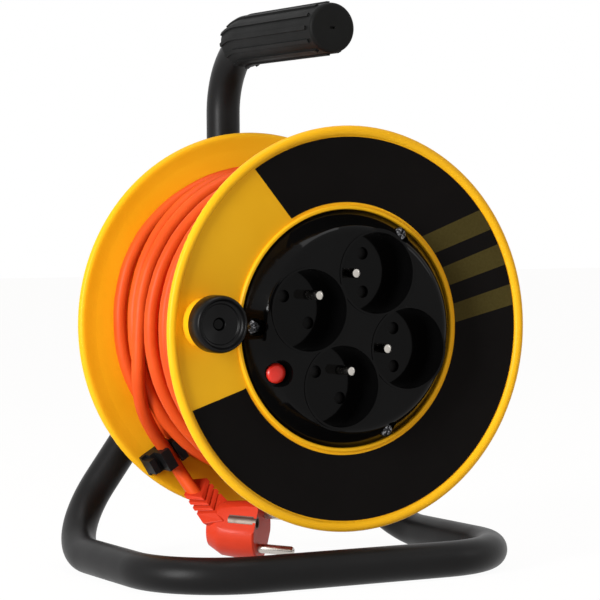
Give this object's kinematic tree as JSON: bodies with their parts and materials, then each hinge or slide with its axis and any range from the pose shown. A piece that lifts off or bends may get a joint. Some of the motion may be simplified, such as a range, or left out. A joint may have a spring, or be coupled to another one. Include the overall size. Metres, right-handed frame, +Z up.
{
  "type": "extension cord reel",
  "caption": "Extension cord reel: a flanged drum of wound cord with shuttered mains sockets, crank knob and reset button, turning on a bent tube stand with a ribbed carrying handle.",
  "frame": {"origin": "centre of the stand's footprint, on the floor", "axes": "+Z up; -Y towards the side with the sockets; X across the drum, parallel to the stand's front bar"},
  "size_m": [0.215, 0.1718, 0.2885],
  "materials": {
    "tube_black": "satin powder coat",
    "grip_rubber": "ribbed soft grip",
    "moulding_black": "fine satin moulding",
    "panel_black": "glossy moulding",
    "flange_yellow": "satin-gloss moulding",
    "label_black": "printed film",
    "cord_orange": "smooth soft PVC",
    "plug_red": "soft moulding",
    "button_red": "glossy moulding",
    "steel": "zinc-plated",
    "pin_metal": "nickel-plated",
    "contact_brass": "plain"
  },
  "bodies": {
    "stand": {"upright_tube": "tube_black", "base_tube": "tube_black", "handle_grip": "grip_rubber", "axle_carrier": "moulding_black", "carrier_clamp": "moulding_black", "carrier_screws": "steel", "axle_bolt": "steel", "axle_washer": "steel", "axle_nut": "steel"},
    "drum": {"front_flange": "flange_yellow", "front_label": "label_black", "drum_barrel": "flange_yellow", "rear_flange": "flange_yellow", "flange_screws": "steel", "socket_panel": "panel_black", "panel_screws": "steel", "earth_pins": "pin_metal", "earth_strap": "contact_brass", "live_busbar": "contact_brass", "neutral_busbar": "contact_brass", "socket_rear_cover": "moulding_black", "cover_screw": "steel", "cutout_body": "moulding_black", "cutout_terminals": "contact_brass", "crank_pin": "moulding_black", "cord_gland": "moulding_black", "inner_lead": "cord_orange", "cord_grommet": "moulding_black", "winding_core": "cord_orange", "cord_winding": "cord_orange", "cord_lead": "cord_orange", "cable_clip": "moulding_black", "plug_boot": "plug_red", "plug_body": "plug_red", "plug_pins": "pin_metal", "plug_earth_contacts": "pin_metal"},
    "knob": {"crank_knob": "panel_black"},
    "button": {"reset_button": "button_red"},
    "shutter_a": {"shutter_a": "moulding_black"},
    "shutter_b": {"shutter_b": "moulding_black"},
    "shutter_c": {"shutter_c": "moulding_black"},
    "shutter_d": {"shutter_d": "moulding_black"}
  },
  "joints": [
    {"name": "drum_spin", "type": "hinge", "parent": "stand", "child": "drum", "pos_m": [0, 0.0346, 0.126], "axis": [0, 1, 0], "continuous": true},
    {"name": "knob_spin", "type": "hinge", "parent": "drum", "child": "knob", "pos_m": [-0.07965, -0.0804, 0.13087], "axis": [0, 1, 0], "continuous": true},
    {"name": "reset_press", "type": "slide", "parent": "drum", "child": "button", "axis": [0, 1, 0], "range_m": [0, 0.0015], "stiffness_N_per_m": 400},
    {"name": "shutter_a_slide", "type": "slide", "parent": "drum", "child": "shutter_a", "axis": [-0.7071, 0, -0.7071], "range_m": [0, 0.0065], "stiffness_N_per_m": 40},
    {"name": "shutter_b_slide", "type": "slide", "parent": "drum", "child": "shutter_b", "axis": [1, 0, 0], "range_m": [0, 0.0065], "stiffness_N_per_m": 40},
    {"name": "shutter_c_slide", "type": "slide", "parent": "drum", "child": "shutter_c", "axis": [1, 0, 0], "range_m": [0, 0.0065], "stiffness_N_per_m": 40},
    {"name": "shutter_d_slide", "type": "slide", "parent": "drum", "child": "shutter_d", "axis": [-0.7071, 0, -0.7071], "range_m": [0, 0.0065], "stiffness_N_per_m": 40}
  ]
}
